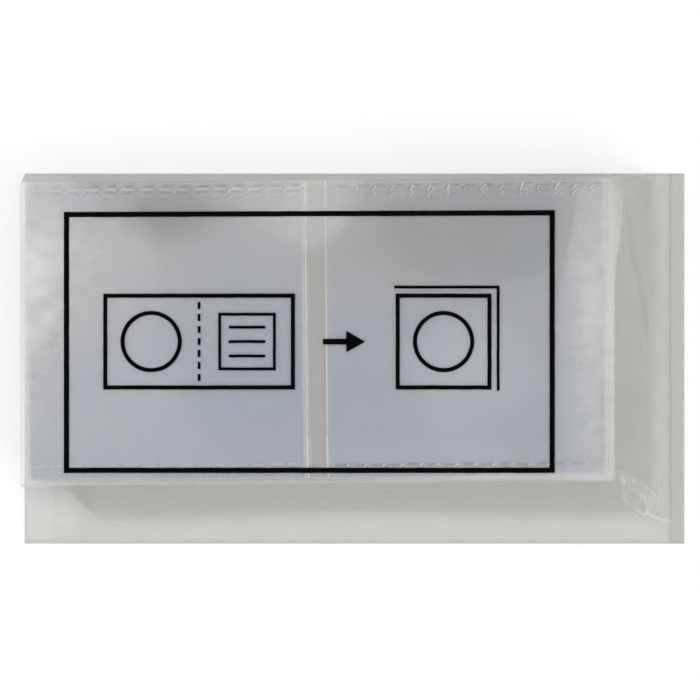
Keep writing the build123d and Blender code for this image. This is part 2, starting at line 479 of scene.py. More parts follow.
# The haze that carries the painted highlights along the bends, and the whitening and painted highlights of the
# creases
HAZE_BEND_HIGHLIGHT, HAZE_CREASE = 0.13, 0.35
HAZE_WALL, HAZE_WALL_RIGHT = 0.07, 0.05  # the upper side, whose haze carries its painted shade, and what its right end has more
CLEAR_RIGHT, CLEAR_MOUTH = 0.01, 0.09  # what the sealed end and the mouth's flat film have less
SHADE_EVEN = 0.5
# Painted light: the glare patches lighten the shade, the dim patches darken it, and the bends and the flat film
# at the mouth carry painted highlights
SHADE_GLARE, SHADE_DIM, PATCH_EDGE = 0.45, 0.4, (0, 0.08)
SHADE_BEND_HIGHLIGHT, MOUTH_HIGHLIGHT = 0.25, 0.45
# Painted light off the pile: the slopes are a little lighter, and the lower flange lighter still away from the
# pile's shade
SHADE_SLOPE, SHADE_FLANGE, FLANGE_EDGE = 0.06, 0.14, (3, 9)
# Painted shade on the upper side, more at its right end, on the steep slopes and on the sealed end's slope
DARK_WALL, DARK_WALL_RIGHT = 0.10, 0.20
DARK_STEEP, DARK_RIGHT = 0.22, 0.13
TO_RIGHT = (-10, 48)  # the painted highlight on the lower bend grows brighter and wider between these X
LOWER_BEND_HIGHLIGHT = ((0.8, 0.5), (0.7, -0.9), (0.4, 0.8))  # brightness, place and width of its painted highlight, and what each gains
RIGHT_BRIGHT = 0.4  # brightness of the right bend's painted highlight, which has a wide glow and a narrow line
RIGHT_GLOW, RIGHT_GLOW_WIDTH, GLOW_BY_SLACK = -0.2, 1.1, 0.6
RIGHT_LINE, RIGHT_LINE_WIDTH = 0.4, 0.3
BEND_END = (-0.3, 0.8)  # a bend's painted highlight ends here, past the pile's corner
MOUTH_EDGE = (0.2, 1.4)  # from the pile to the flat film at the mouth
MOUTH_STEPS = ((0.6, (-67.4, -66.4)), (0.4, (-64, -60)))  # shares of its clearer, painted-highlight look that end between these X
MOUTH_HEM, HEM_SLANT, HEM_X, HEM_EDGE = 0.6, 0.35, -70, (34.5, 36)  # the share that ends at its slanting hem
WALL_EDGE, WALL_END = (0.1, 0.6), (0, 8)  # from the pile to the upper side, and from that to the sealed end
STEEP_RISE, STEEP_START = (0.3, 2.4), (-66, -58)  # steep film: its height over the flange, and its X
RIGHT_EDGE = (-1, 3)  # from the pile to the film of the sealed end


def patches(x, y, row):
    """The strength of a row of soft patches at a place."""
    return sum(patch.strength * hill(x, patch.x, patch.wide) * hill(y, patch.y, patch.high) for patch in row)


def film_bend_highlight(drape, to_right):
    """The painted highlight along the film's bend over the pile's lower and right edge, at a place."""
    past_lower, past_right = drape.past_lower, drape.past_right
    bright, place, width = (start + gain * to_right for start, gain in LOWER_BEND_HIGHLIGHT)
    bend_highlight = bright * hill(past_lower, place, width)
    bend_highlight *= 1 - ramp(past_right, *BEND_END)
    right_bend_highlight = RIGHT_BRIGHT * hill(past_right, RIGHT_GLOW, RIGHT_GLOW_WIDTH + GLOW_BY_SLACK * drape.slack)
    right_bend_highlight += RIGHT_BRIGHT * hill(past_right, RIGHT_LINE, RIGHT_LINE_WIDTH)
    return bend_highlight + right_bend_highlight * (1 - ramp(past_lower, *BEND_END))


def mouth_film(x, y, past_lower):
    """How much a place is flat film beside the pile at the mouth."""
    share = 1.0
    for step, edge in MOUTH_STEPS:
        share -= step * ramp(x, *edge)
    hem = ramp(-y - HEM_SLANT * (x - HEM_X), *HEM_EDGE)
    return ramp(past_lower, *MOUTH_EDGE) * share * (1 - MOUTH_HEM * hem)


def film_looks(x, y, height, drape, crease_shade):
    """Haze and shade of the front film at a place; the shade holds painted light and shade."""
    past_lower, past_right, off_pile = drape.past_lower, drape.past_right, 1 - drape.on_pile
    cloud = 1.0
    for share, squeeze, wave, seed in PATCH_CLOUDS:
        cloud += share * ripple(x, y * squeeze, wave, seed)
    glare = drape.on_pile * cloud * patches(x, y, FILM_GLARE)
    dim = drape.on_pile * cloud * patches(x, y, FILM_DIM)
    to_right = ramp(x, *TO_RIGHT)
    bend_highlight = film_bend_highlight(drape, to_right)
    mouth = mouth_film(x, y, past_lower)
    wall = ramp(drape.past_upper, *WALL_EDGE) * (1 - ramp(past_right, *WALL_END))
    right_side = off_pile * ramp(past_right - max(past_lower, 0), *RIGHT_EDGE)
    steep = off_pile * ramp(height, *(FLANGE_TOP + rise for rise in STEEP_RISE)) * ramp(x, *STEEP_START)

    haze = HAZE_EVEN + HAZE_SLOPE * off_pile + glare + HAZE_BEND_HIGHLIGHT * bend_highlight + HAZE_CREASE * max(crease_shade, 0)
    haze += (HAZE_WALL + HAZE_WALL_RIGHT * to_right) * wall
    haze -= CLEAR_RIGHT * right_side + CLEAR_MOUTH * mouth - HAZE_STEEP * steep - dim

    shade = SHADE_EVEN + SHADE_GLARE * ramp(glare - dim, *PATCH_EDGE)
    shade = shade - SHADE_DIM * ramp(dim - glare, *PATCH_EDGE) + SHADE_BEND_HIGHLIGHT * bend_highlight + crease_shade
    shade += (
        MOUTH_HIGHLIGHT * mouth
        + off_pile * (SHADE_SLOPE + SHADE_FLANGE * ramp(past_lower, *FLANGE_EDGE))
        - (DARK_WALL + DARK_WALL_RIGHT * to_right) * wall
    )
    shade -= DARK_STEEP * steep * (1 - right_side) + DARK_RIGHT * right_side
    return clamp(haze, *HAZE_LIMITS), clamp(shade)


def front_film(x, y, sizes):
    """Height of the front film's outer face, its haze and its shade, which holds painted light and shade, at a
    place.
    """
    drape = film_drape(x, y, sizes.shoulder / MM)
    rise, crease_shade = film_creases(x, y)
    slack = max(0, ripple(x * SLACK_SQUEEZE[0], y * SLACK_SQUEEZE[1], SLACK_WAVE, seed=9.0))
    slack *= ramp(UPPER_Y - y, *SLACK_EDGE)
    height = drape.height + drape.on_pile * film_swell(x, y, sizes)
    height += (1 - drape.on_pile) * SLACK_RIPPLE * slack + drape.held * rise
    return (height, *film_looks(x, y, height, drape, crease_shade))


RUN_STEPS = 400


def film_run(start, end, sizes):
    """Length of the front film, measured on its face along a straight line across it."""
    places = [start.lerp(end, step / RUN_STEPS) for step in range(RUN_STEPS + 1)]
    points = [Vector((place.x, place.y, front_film(place.x, place.y, sizes)[0])) for place in places]
    return sum((b - a).length for a, b in zip(points, points[1:]))


# Materials

SLANT_GAIN = 0.6  # share of a film's clearness that is lost where it is seen edge on
FILM_IOR = 2.0
FLIP_CLOUD, BAG_CLOUD, INK_CLOUD, FLOOR_CLOUD = 0.026, 0.007, 0.004, 0.3  # size of the clouds, in metres
CLOUD_RANGE, CLOUD_CORE = (0.2, 0.8), (0.35, 0.65)  # the cloud noise, nearly whole and its steep middle
SCUFF_RANGE = (0.66, 0.80)  # the peaks of the fine noise that show as scuffs
WARM_RISE = (-0.006, 0.026)  # the flips turn from cool to warm between these Y, in metres
WARM_BY_CLOUD, WARM_BY_PLACE = 0.4, 0.6
EVEN_HAZE, EVEN_SHADE = (0.9, 1.1), (0.42, 0.50)  # how the clouds change a film of even haze
SCUFF_HAZE, SHADE_WHITE = (0.02, 0.09), 0.9  # opacity of the scuffs on a film of even shade, and on a white one
FLIP_ROUGHER, BAG_ROUGHER, INK_ROUGHER = 0.15, 0.12, 0.1  # what the scuffs or clouds add to the roughness
INK_DENSITY, INK_ROUGHNESS, INK_GLOSS = (0.6, 1.6), 0.55, 0.02


def new_material(name):
    """A new node material, its nodes and its Principled shader."""
    material = bpy.data.materials.new(name)
    material.use_nodes = True
    return material, material.node_tree, material.node_tree.nodes["Principled BSDF"]


def set_input(tree, socket, value):
    """Sets a socket, or links it."""
    if isinstance(value, bpy.types.NodeSocket):
        tree.links.new(value, socket)
    else:
        socket.default_value = value


def set_inputs(tree, node, **inputs):
    """Sets or links a node's inputs by name, in which _ stands for a space."""
    for name, value in inputs.items():
        set_input(tree, node.inputs[name.replace("_", " ")], value)


def add_node(tree, kind, **inputs):
    """A node with its inputs set by value or linked from a socket."""
    node = tree.nodes.new(kind)
    set_inputs(tree, node, **inputs)
    return node


def add_math(tree, operation, *values):
    """A Math node's result."""
    node = tree.nodes.new("ShaderNodeMath")
    node.operation = operation
    for socket, value in zip(node.inputs, values):
        set_input(tree, socket, value)
    return node.outputs[0]


def remap(tree, value, low, high, new_low=0.0, new_high=1.0):
    """A value moved from one range to another, and kept inside it."""
    node = add_node(tree, "ShaderNodeMapRange", Value=value, From_Min=low, From_Max=high)
    set_inputs(tree, node, To_Min=new_low, To_Max=new_high)
    return node.outputs["Result"]


def mix_colour(tree, share, a, b):
    """A colour between two."""
    node = tree.nodes.new("ShaderNodeMix")
    node.data_type = "RGBA"
    set_inputs(tree, node, Factor=share, A=a, B=b)
    return node.outputs["Result"]


def mesh_value(tree, name):
    """A value that the mesh carries at its vertices."""
    node = tree.nodes.new("ShaderNodeAttribute")
    node.attribute_name = name
    return node.outputs["Fac"]


def rgba(colour, scale=1.0):
    """A colour with full alpha, made lighter or darker."""
    return (*(part * scale for part in colour), 1.0)


def film_grain_group():
    """Soft clouds and fine scuffs, shared by every film material."""
    name = "film_grain"
    if name in bpy.data.node_groups:
        return bpy.data.node_groups[name]
    group = bpy.data.node_groups.new(name, "ShaderNodeTree")
    size = group.interface.new_socket("Cloud Size", in_out="INPUT", socket_type="NodeSocketFloat")
    size.default_value = 0.02
    group.interface.new_socket("Cloud", in_out="OUTPUT", socket_type="NodeSocketFloat")
    group.interface.new_socket("Scuff", in_out="OUTPUT", socket_type="NodeSocketFloat")
    inside, outside = group.nodes.new("NodeGroupInput"), group.nodes.new("NodeGroupOutput")
    place = add_node(group, "ShaderNodeTexCoord").outputs["Object"]
    scale = add_math(group, "DIVIDE", 1.0, inside.outputs["Cloud Size"])
    cloud = add_node(group, "ShaderNodeTexNoise", Vector=place, Scale=scale, Detail=3.0, Roughness=0.55)
    turned = add_node(group, "ShaderNodeMapping", Vector=place, Rotation=(0, 0, 0.6), Scale=(120, 1500, 300))
    fine = add_node(group, "ShaderNodeTexNoise", Vector=turned.outputs[0], Scale=1.0, Detail=2.0)
    group.links.new(cloud.outputs["Fac"], outside.inputs["Cloud"])
    group.links.new(remap(group, fine.outputs["Fac"], *SCUFF_RANGE), outside.inputs["Scuff"])
    return group


def film_grain(tree, cloud_size):
    """The film grain's cloud and scuff, with clouds of the given size in metres."""
    node = tree.nodes.new("ShaderNodeGroup")
    node.node_tree = film_grain_group()
    node.inputs["Cloud Size"].default_value = cloud_size
    return node.outputs["Cloud"], node.outputs["Scuff"]


def film_opacity(tree, opacity):
    """The opacity of a film, which rises where it is seen at a slant."""
    slant = add_node(tree, "ShaderNodeLayerWeight", Blend=0.5).outputs["Facing"]
    clear = add_math(tree, "SUBTRACT", 1.0, opacity)
    gain = add_math(tree, "MULTIPLY", add_math(tree, "MULTIPLY", slant, slant), SLANT_GAIN)
    return add_math(tree, "MULTIPLY_ADD", clear, gain, opacity)


def flip_material(name, cool, warm, opacity, roughness):
    """Glossy polyester film, with soft bluish and greyer clouds."""
    material, tree, shader = new_material(name)
    cloud, scuff = film_grain(tree, FLIP_CLOUD)
    place = add_node(tree, "ShaderNodeTexCoord").outputs["Object"]
    along_y = add_node(tree, "ShaderNodeSeparateXYZ", Vector=place).outputs["Y"]
    by_place = add_math(tree, "MULTIPLY", remap(tree, along_y, *WARM_RISE), WARM_BY_PLACE)
    share = add_math(tree, "MULTIPLY_ADD", remap(tree, cloud, *CLOUD_CORE), WARM_BY_CLOUD, by_place)
    colour = mix_colour(tree, share, rgba(cool), rgba(warm))
    rough = add_math(tree, "MULTIPLY_ADD", scuff, FLIP_ROUGHER, roughness)
    alpha = film_opacity(tree, opacity)
    set_inputs(tree, shader, Base_Color=colour, Roughness=rough, Alpha=alpha, IOR=FILM_IOR)
    return material


def bag_material(name, colours, roughness, haze=None):
    """Hazy bag film. Its haze and its shade, which paints light and shade into its colour, come from the mesh's
    own attributes, or are even.
    """
    material, tree, shader = new_material(name)
    cloud, scuff = film_grain(tree, BAG_CLOUD)
    if haze is None:
        opacity, shade = mesh_value(tree, "haze"), mesh_value(tree, "shade")
    else:
        opacity = remap(tree, cloud, *CLOUD_RANGE, *(haze * part for part in EVEN_HAZE))
        shade = remap(tree, cloud, *CLOUD_RANGE, *EVEN_SHADE)
    lit = remap(tree, shade, SHADE_EVEN, 1.0)
    light = mix_colour(tree, lit, rgba(colours.bag), rgba(colours.bag_white))
    colour = mix_colour(tree, remap(tree, shade, SHADE_EVEN, 0.0), light, rgba(colours.bag_dark))
    rough = add_math(tree, "MULTIPLY_ADD", cloud, BAG_ROUGHER, roughness)
    scuff_haze = remap(tree, shade, SHADE_EVEN, SHADE_WHITE, *SCUFF_HAZE)
    alpha = film_opacity(tree, add_math(tree, "MULTIPLY_ADD", scuff, scuff_haze, opacity))
    uneven = add_node(tree, "ShaderNodeBump", Strength=0.15, Distance=0.00004, Height=cloud)
    set_inputs(tree, shader, Base_Color=colour, Roughness=rough, Alpha=alpha, IOR=FILM_IOR)
    set_inputs(tree, shader, Normal=uneven.outputs["Normal"])
    return material


def ink_material(colour):
    """Thin black print, a little uneven."""
    material, tree, shader = new_material("black_print")
    cloud, scuff = film_grain(tree, INK_CLOUD)
    uneven = mix_colour(tree, cloud, *(rgba(colour, part) for part in INK_DENSITY))
    rough = add_math(tree, "MULTIPLY_ADD", scuff, INK_ROUGHER, INK_ROUGHNESS)
    set_inputs(tree, shader, Base_Color=uneven, Roughness=rough, Specular_IOR_Level=INK_GLOSS)
    return material


# The flips, in millimetres

LIGHT_SLOT, SOFT_SLOT, GLOW_SLOT, DARK_SLOT, FOLD_SLOT = range(1, 6)  # 0 is the plain film; the next three paint highlights, strong to faint, DARK_SLOT paints shade, and FOLD_SLOT is the single film of the fold
TURNED_END = 0.5  # width of the painted highlight band at a pocket's turned end
MOUTH_LOOKS = ((-1, 0.35, 0.75), (1, 0.28, 0.1))  # hand, painted highlight on the rim of a pocket's mouth, painted glow beside it
BRIGHT_RIM = 8  # length at each end of a mouth where its painted highlight is brightest
WELD_MARGIN = 1.0  # from a pocket's mouth to its first weld mark
FOLD_MARKS = 4  # weld marks of the left pocket's upper row that have painted glints, from the fold on
MARK_SWAY = (0.6, 0.3)  # how far a mark strays along its row and across it
UNEVEN_WAVE, BRIGHT_WAVE = 3.3, 2.7
STROKE_SLANT, STROKE_SWAY = radians(58), 0.6
DULL_STROKE = -0.25  # a mark whose brightness is lower has a duller painted highlight
DASH_TAPER = 0.3
TINY = 1e-3


def add_block(bm, low, high):
    """A closed block between two corners. Returns its vertices."""
    verts = bmesh.ops.create_cube(bm, size=1.0)["verts"]
    bmesh.ops.scale(bm, vec=Vector(high) - Vector(low), verts=verts)
    bmesh.ops.translate(bm, vec=(Vector(low) + Vector(high)) / 2, verts=verts)
    return verts


def linked_faces(verts):
    """The faces that the vertices belong to."""
    return {face for vert in verts for face in vert.link_faces}


def cut_across(bm, verts, axis, places):
    """Cuts a block square to an axis at several places. Returns all its vertices."""
    normal = Vector((axis == "x", axis == "y", 0))
    for place in places:
        faces = linked_faces(verts)
        edges = {edge for face in faces for edge in face.edges}
        corners = {vert for face in faces for vert in face.verts}
        cut = bmesh.ops.bisect_plane(
            bm, geom=[*corners, *edges, *faces], dist=1e-6, plane_co=normal * place, plane_no=normal
        )
        verts = [*corners, *(item for item in cut["geom_cut"] if isinstance(item, bmesh.types.BMVert))]
    return verts


def on_outline(place):
    """Whether a face with its middle at this place is a cut edge on the flip's outline."""
    return abs(place.x) > FLIP_SIDE - TINY or abs(place.y) > FLIP_SIDE / 2 - TINY


def make_carrier(bm):
    """The carrier film with its scored fold line, and painted highlight on its cut edges."""
    verts = add_block(bm, (-FLIP_SIDE, -FLIP_SIDE / 2, 0), (FLIP_SIDE, FLIP_SIDE / 2, FLIP_FILM))
    score = SCORE_WIDTH / 2
    verts = cut_across(bm, verts, "x", (-MOUTH_SETBACK, -score, 0, score, MOUTH_SETBACK))
    for vert in verts:
        if abs(vert.co.x) < TINY and vert.co.z > FLIP_FILM / 2:
            vert.co.z -= SCORE_DEPTH
    for face in linked_faces(verts):
        middle = face.calc_center_median()
        if on_outline(middle):
            face.material_index = SOFT_SLOT
        elif abs(middle.x) < MOUTH_SETBACK:
            face.material_index = FOLD_SLOT


def make_pocket(bm, hand, rim, glow):
    """One pocket film, with painted highlights on its mouth, its cut edges and its turned end. hand is -1 for
    the left one and 1 for the other.
    """
    side = FLIP_SIDE / 2
    mouth, end = hand * MOUTH_SETBACK, hand * FLIP_SIDE
    foot = FLIP_FILM + POCKET_GAP
    low = (min(mouth, end), -side, foot)
    high = (max(mouth, end), side, foot + FLIP_FILM)
    verts = add_block(bm, low, high)
    cuts = (mouth + hand * rim, mouth + hand * (rim + glow), end - hand * TURNED_END)
    verts = cut_across(bm, verts, "x", cuts)
    bright = side - BRIGHT_RIM
    verts = cut_across(bm, verts, "y", (-bright, bright))
    for face in linked_faces(verts):
        middle = face.calc_center_median()
        if on_outline(middle):
            face.material_index = LIGHT_SLOT
        elif abs(middle.x) > FLIP_SIDE - TURNED_END:
            face.material_index = SOFT_SLOT
        elif abs(middle.x) < MOUTH_SETBACK + rim:
            face.material_index = LIGHT_SLOT if abs(middle.y) > bright else SOFT_SLOT
        elif abs(middle.x) < MOUTH_SETBACK + rim + glow:
            face.material_index = GLOW_SLOT


def make_dash(bm, rise, slot, x, y, long, wide, turn):
    """One raised weld dash on a pocket film. It narrows to its top, and its lower side carries painted shade.
    """
    foot = 2 * FLIP_FILM + POCKET_GAP
    verts = add_block(bm, (-long / 2, -wide / 2, foot), (long / 2, wide / 2, foot + rise))
    narrow = min(long, wide) * DASH_TAPER
    for vert in verts:
        if vert.co.z > foot + rise / 2:
            vert.co.x -= narrow if vert.co.x > 0 else -narrow
            vert.co.y -= narrow if vert.co.y > 0 else -narrow
    for face in linked_faces(verts):
        face.material_index = DARK_SLOT if face.calc_center_median().y < -wide / 3 else slot
    bmesh.ops.rotate(bm, cent=(0, 0, 0), matrix=Matrix.Rotation(turn, 3, "Z"), verts=verts)
    bmesh.ops.translate(bm, vec=(x, y, 0), verts=verts)


class WeldMark(NamedTuple):
    """Where a weld mark is and how it differs from its neighbours."""

    x: float
    y: float
    uneven: float
    bright: float

    @property
    def slant(self):
        """The turn of its slanting strokes."""
        return STROKE_SLANT + STROKE_SWAY * self.uneven

    @property
    def stroke_slot(self):
        """The material of its stroke of painted highlight."""
        return LIGHT_SLOT if self.bright > DULL_STROKE else SOFT_SLOT


# The dashes of one mark: each has its slot, its place, its length and width, and its turn. The light slots
# paint glints and highlights on the welds, and DARK_SLOT paints their shade.


def left_mark(dash, mark, long, wide, near_fold):
    """A flat painted highlight of the left pocket, with painted shade above it in the upper row, a short stroke
    at its end, and one more painted glint near the fold.
    """
    x, y, uneven, bright = mark
    slot = SOFT_SLOT if y > 0 else GLOW_SLOT
    dash(slot, x, y, long * (0.9 + 0.4 * uneven), wide * (1.0 + 0.4 * bright), 0.2 * uneven)
    if y > 0:
        dash(DARK_SLOT, x + 0.5, y + 0.9, long * (0.75 - 0.4 * bright), 0.5, -0.1 * uneven)
    end_slot = LIGHT_SLOT if near_fold else slot
    dash(end_slot, x - long / 2 - 0.1, y - 0.25, 0.8 + 0.4 * bright, 0.28, mark.slant)
    if near_fold:
        dash(LIGHT_SLOT, x + 0.7, y + 0.3 * uneven, 1.1 + bright, 0.25, -0.8 * bright)


def right_upper_mark(dash, mark, long):
    """A slanting painted glint of the right pocket's upper row, with painted shade beside it, between flatter
    ones.
    """
    x, y, uneven, bright = mark
    dash(mark.stroke_slot, x, y, 1.35 + 0.8 * bright, 0.42 + 0.2 * uneven, mark.slant)
    dash(DARK_SLOT, x - 0.55, y + 0.1, 1.1 + 0.6 * uneven, 0.42, mark.slant)
    dash(GLOW_SLOT, x + 1.6, y - 0.3 + 0.4 * uneven, 0.6 * long, 0.3, 0.3 * bright)
    dash(DARK_SLOT, x + 1.2, y + 0.7, long * (0.6 - 0.4 * bright), 0.3, 0.2 * uneven)
    if bright > 0.1:
        dash(LIGHT_SLOT, x + 0.9, y - 0.5, 0.7, 0.25, -0.5 * mark.slant)


def right_lower_mark(dash, mark, long):
    """A dark flat mark of painted shade in the right pocket's lower row, with a short painted highlight beside
    it.
    """
    x, y, uneven, bright = mark
    dash(DARK_SLOT, x, y, 0.8 * long, 0.55 + 0.3 * uneven, 0.2 * uneven)
    dash(mark.stroke_slot, x + 1.6, y - 0.2, 0.7 + 0.4 * bright, 0.24, 0.5 * mark.slant)


def make_welds(bm, hand, sizes):
    """The two rows of weld marks of one pocket. The left pocket's lie flat, the right pocket's slant."""
    pitch, long, wide = sizes.weld_pitch / MM, sizes.weld_dash / MM, sizes.weld_width / MM
    row = FLIP_SIDE / 2 - sizes.weld_inset / MM
    dash = partial(make_dash, bm, sizes.weld_rise / MM)
    for count in range(int((FLIP_SIDE - MOUTH_SETBACK - WELD_MARGIN) / pitch)):
        for y in (-row, row):
            x = hand * (MOUTH_SETBACK + WELD_MARGIN + pitch * (count + 0.5))
            uneven, bright = ripple(x, y, UNEVEN_WAVE, seed=51.0), ripple(x, y, BRIGHT_WAVE, seed=55.0)
            mark = WeldMark(x + MARK_SWAY[0] * uneven, y + MARK_SWAY[1] * bright, uneven, bright)
            if hand < 0:
                near_fold = count < FOLD_MARKS and y > 0
                left_mark(dash, mark, long, wide, near_fold)
                if near_fold and count == 0:
                    # A painted glint at the upper corner of the left pocket's mouth
                    dash(LIGHT_SLOT, -MOUTH_SETBACK - 0.8, row + 0.5, 1.5, 0.5, 0.4)
            elif y > 0:
                right_upper_mark(dash, mark, long)
            else:
                right_lower_mark(dash, mark, long)


def make_flip(sizes):
    """The mesh of one open flip, with its fold line along Y at the origin."""
    bm = bmesh.new()
    make_carrier(bm)
    for hand, rim, glow in MOUTH_LOOKS:
        make_pocket(bm, hand, rim, glow)
        make_welds(bm, hand, sizes)
    return finish_mesh("flip", bm)


def flip_place(low, high):
    """Where a flip of this box lies: the middle of its fold, its underside and how far it is turned."""
    turn = asin(clamp((high.y - low.y - FLIP_SIDE) / FLIP_LENGTH))
    middle = (low + high) / 2
    return Matrix.Translation(Vector((middle.x, middle.y, low.z)) * MM) @ Matrix.Rotation(turn, 4, "Z")


class PACK_OT_flips(bpy.types.Operator):
    """Make the pile of flips"""

    bl_idname = "pack.flips"
    bl_label = "Flips"

    def execute(self, context):
        colours = context.scene.pack_colours
        looks = (  # in the order of the slots: name, cool colour, warm colour, opacity, roughness
            ("flip_film", colours.flip_cool, colours.flip_warm, 0.16, 0.22),
            # The next three paint highlights, strong to faint, and flip_shade paints shade
            ("flip_highlight", colours.flip_highlight, colours.flip_highlight, 0.80, 0.30),
            ("flip_soft_highlight", colours.flip_highlight, colours.flip_highlight, 0.52, 0.30),
            ("flip_glow", colours.flip_highlight, colours.flip_highlight, 0.30, 0.30),
            ("flip_shade", colours.flip_dark, colours.flip_dark, 0.16, 0.30),
            ("flip_fold", colours.fold, colours.fold, 0.16, 0.22),
        )
        materials = [flip_material(*look) for look in looks]
        pattern = make_flip(context.scene.pack_sizes)
        for node, (low, high) in zip(FLIP_NODES, FLIP_BOXES):
            mesh = pattern.copy()
            mesh.transform(flip_place(low, high))
            add_piece(f"{node}_film", mesh, materials, node, "flip_film", node)
        bpy.data.meshes.remove(pattern)
        return {"FINISHED"}


# The bag, in millimetres

FRONT_ASPECT = 0.7  # cells across the front film for each one along it
FRONT_ROUGHNESS, BACK_ROUGHNESS = 0.28, 0.3
BACK_HAZE, SEAL_HAZE = 0.19, 0.48
BACK_CELLS, SEAL_CELLS = (96, 56), (24, 120)
BACK_RIPPLE, BACK_WAVE, BACK_MARGIN = 0.025, 6, 4  # ripples of the back film's margins
CRIMP_RISE, CRIMP_COUNT = 0.010, 4  # the crimps run along the seal
SEAL_RIPPLE, SEAL_WAVE = 0.03, 8


class PACK_OT_front_film(bpy.types.Operator):
    """Make the front film of the bag"""

    bl_idname = "pack.front_film"
    bl_label = "Front film"

    def execute(self, context):
        sizes, colours = context.scene.pack_sizes, context.scene.pack_colours
        bm = new_grid(sizes.film_cells, ceil(sizes.film_cells * FRONT_ASPECT))
        # The cells are finer at the mouth and on the slopes than over the pile
        x_stops = [(0, MOUTH_X), (0.07, MOUTH_X + 7), (0.66, PILE_RIGHT - 3), (1, SEAL_X)]
        y_stops = [(0, LOWER_Y), (0.38, PILE_LOWER + 3), (0.83, PILE_UPPER - 3), (1, UPPER_Y)]
        haze, shade = bm.verts.layers.float.new("haze"), bm.verts.layers.float.new("shade")
        for vert in bm.verts:
            along, across = grid_share(vert)
            x, y = spread(along, x_stops), spread(across, y_stops)
            height, vert[haze], vert[shade] = front_film(x, y, sizes)
            vert.co = (x, y, height)
        mesh = finish_mesh("bag_front", bm, smooth=True)
        middle_x, middle_y = (MOUTH_X + SEAL_X) / 2, (LOWER_Y + UPPER_Y) / 2
        flat = (
            film_run(Vector((middle_x, LOWER_Y)), Vector((middle_x, UPPER_Y)), sizes) * MM,
            film_run(Vector((MOUTH_X, middle_y)), Vector((SEAL_X, middle_y)), sizes) * MM,
        )
        film = bag_material("bag_front", colours, FRONT_ROUGHNESS)
        piece = add_piece("bag_front", mesh, [film], "bag", "bag_film", "bag_front_film")
        thicken(piece, BAG_FILM, -1)
        return {"FINISHED"}


class PACK_OT_back_film(bpy.types.Operator):
    """Make the back film of the bag"""

    bl_idname = "pack.back_film"
    bl_label = "Back film"

    def execute(self, context):
        bm = new_grid(*BACK_CELLS)
        size = BACK_HIGH - BACK_LOW
        for vert in bm.verts:
            along, across = grid_share(vert)
            x, y = BACK_LOW.x + size.x * along, BACK_LOW.y + size.y * across
            margin = ramp(max(PILE_LOWER - y, x - PILE_RIGHT), 0, BACK_MARGIN)
            rise = BACK_RIPPLE * margin * max(0, ripple(x, y, BACK_WAVE, seed=31.0))
            vert.co = (x, y, BACK_HIGH.z + rise)
        mesh = finish_mesh("bag_back", bm, smooth=True)
        film = bag_material("bag_back", context.scene.pack_colours, BACK_ROUGHNESS, haze=BACK_HAZE)
        piece = add_piece("bag_back", mesh, [film], "bag", "bag_film", "bag_back_film")
        thicken(piece, BAG_FILM, -1)
        return {"FINISHED"}


class PACK_OT_end_seal(bpy.types.Operator):
    """Make the fused band at the end of the bag"""

    bl_idname = "pack.end_seal"
    bl_label = "End seal"

    def execute(self, context):
        bm = new_grid(*SEAL_CELLS)
        size = SEAL_HIGH - SEAL_LOW
        for vert in bm.verts:
            along, across = grid_share(vert)
            x, y = SEAL_LOW.x + size.x * along, SEAL_LOW.y + size.y * across
            crimp = CRIMP_RISE * (1 + cos(2 * pi * CRIMP_COUNT * along))
            vert.co = (x, y, SEAL_HIGH.z + crimp + SEAL_RIPPLE * along * ripple(x, y, SEAL_WAVE, seed=41.0))
        mesh = finish_mesh("bag_seal", bm, smooth=True)
        film = bag_material("bag_seal", context.scene.pack_colours, BACK_ROUGHNESS, haze=SEAL_HAZE)
        piece = add_piece("bag_seal", mesh, [film], "bag", "bag_seal", "bag_end_seal")
        thicken(piece, size.z, -1)
        return {"FINISHED"}


# The print, in millimetres

PRINT_DROP = 0.4  # how far the border's upper left corner is drawn down with the slack film
PRINT_GAP = 0.012  # from the film to the print
INK_WALL = 0.01
INK_WOBBLE, WOBBLE_WAVE = 0.05, 2.5  # unevenness of the printed lines
PRINT_CELL, PRINT_CUTS = 3, (40, 2)  # longer lines are cut, twice, so that they follow the film
RING_SEGMENTS = 72
THIN_LINE, THICK_LINE = 0.7, 1.4  # in widths of the line picture's main line
COIN_RADIUS = 0.32  # in sides of the folded flip


def add_bar(bm, middle, wide, high):
    """A plain bar, by its middle and its size. Returns its vertices."""
    verts = bmesh.ops.create_grid(bm, x_segments=1, y_segments=1, size=0.5)["verts"]
    bmesh.ops.scale(bm, vec=(wide, high, 1), verts=verts)
    bmesh.ops.translate(bm, vec=middle, verts=verts)
    return verts


def keep_outline(bm, verts, line):
    """Leaves only a line of this width along the edge of a flat shape."""
    inner = list(linked_faces(verts))
    bmesh.ops.inset_individual(bm, faces=inner, thickness=line, use_even_offset=True)
    bmesh.ops.delete(bm, geom=inner, context="FACES_ONLY")


def add_frame(bm, low, high, line):
    """A ruled rectangle, by two corners and its line width."""
    size = high - low
    keep_outline(bm, add_bar(bm, (high + low) / 2, size.x, size.y), line)


def add_ring(bm, middle, radius, line):
    """A ruled circle, by its middle, its outer radius and its line width."""
    verts = bmesh.ops.create_circle(bm, cap_ends=True, radius=radius, segments=RING_SEGMENTS)["verts"]
    bmesh.ops.translate(bm, vec=middle, verts=verts)
    keep_outline(bm, verts, line)


def beside(place, x, y=0.0):
    """The place that lies this far from another on the print."""
    return place + Vector((x, y, 0))


